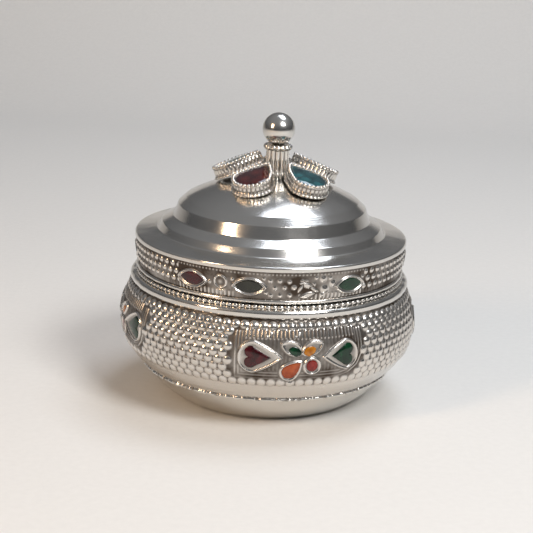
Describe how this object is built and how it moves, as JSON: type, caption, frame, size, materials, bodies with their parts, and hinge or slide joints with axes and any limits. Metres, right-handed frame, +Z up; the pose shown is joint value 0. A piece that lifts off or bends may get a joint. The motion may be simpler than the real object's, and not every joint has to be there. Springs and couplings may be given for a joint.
{
  "type": "lidded kumkum box",
  "caption": "Round footed-flat metal kumkum box with an embossed, stone-set bowl and a stepped dome lid that lifts off by a ball finial.",
  "frame": {"origin": "centre of the flat foot, on the surface that the box stands on", "axes": "+Z up along the bowl's and lid's common axis; the front of the box, seen in the picture, faces -Y"},
  "size_m": [0.0648, 0.0648, 0.0617],
  "materials": {
    "polished_german_silver": "spun and polished nickel silver",
    "pressed_german_silver": "pressed, soldered and buffed nickel silver",
    "garnet_enamel": "glossy wine-red inlay",
    "green_enamel": "glossy dark green inlay",
    "olive_enamel": "glossy dark olive inlay",
    "amber_enamel": "glossy amber inlay",
    "orange_enamel": "glossy orange inlay",
    "red_enamel": "glossy red inlay",
    "garnet_glass": "foil-backed wine-red glass cabochon",
    "teal_glass": "foil-backed blue-green glass cabochon",
    "green_glass": "foil-backed dark green glass cabochon"
  },
  "bodies": {
    "bowl": {"amber_leaf_1": "amber_enamel", "amber_leaf_2": "amber_enamel", "amber_leaf_3": "amber_enamel", "amber_leaf_4": "amber_enamel", "bottom_pan": "polished_german_silver", "bowl_wall": "pressed_german_silver", "garnet_heart_1": "garnet_enamel", "garnet_heart_2": "garnet_enamel", "garnet_heart_3": "garnet_enamel", "garnet_heart_4": "garnet_enamel", "green_heart_1": "green_enamel", "green_heart_2": "green_enamel", "green_heart_3": "green_enamel", "green_heart_4": "green_enamel", "green_leaf_1": "green_enamel", "green_leaf_2": "green_enamel", "green_leaf_3": "green_enamel", "green_leaf_4": "green_enamel", "milled_wire": "pressed_german_silver", "neck_sleeve": "polished_german_silver", "orange_drop_1": "orange_enamel", "orange_drop_2": "orange_enamel", "orange_drop_3": "orange_enamel", "orange_drop_4": "orange_enamel", "red_dot_1": "red_enamel", "red_dot_2": "red_enamel", "red_dot_3": "red_enamel", "red_dot_4": "red_enamel", "seam_wire": "pressed_german_silver", "shoulder_ring": "polished_german_silver"},
    "lid": {"finial_ball": "polished_german_silver", "finial_collet": "pressed_german_silver", "finial_nut": "pressed_german_silver", "finial_screw": "pressed_german_silver", "green_marquise_1": "green_enamel", "green_marquise_2": "green_enamel", "green_marquise_3": "green_enamel", "lid_band": "pressed_german_silver", "lid_dome": "polished_german_silver", "lid_edge_wire": "pressed_german_silver", "olive_marquise_1": "olive_enamel", "olive_marquise_2": "olive_enamel", "olive_marquise_3": "olive_enamel", "petal_bezel_1": "pressed_german_silver", "petal_bezel_2": "pressed_german_silver", "petal_bezel_3": "pressed_german_silver", "petal_bezel_4": "pressed_german_silver", "petal_bezel_5": "pressed_german_silver", "petal_stone_1": "garnet_glass", "petal_stone_2": "teal_glass", "petal_stone_3": "teal_glass", "petal_stone_4": "garnet_glass", "petal_stone_5": "green_glass", "red_marquise_1": "garnet_enamel", "red_marquise_2": "garnet_enamel", "red_marquise_3": "garnet_enamel"}
  },
  "joints": [
    {"name": "lid_lift", "type": "slide", "parent": "bowl", "child": "lid", "axis": [0, 0, 1], "range_m": [0, 0.03]}
  ]
}
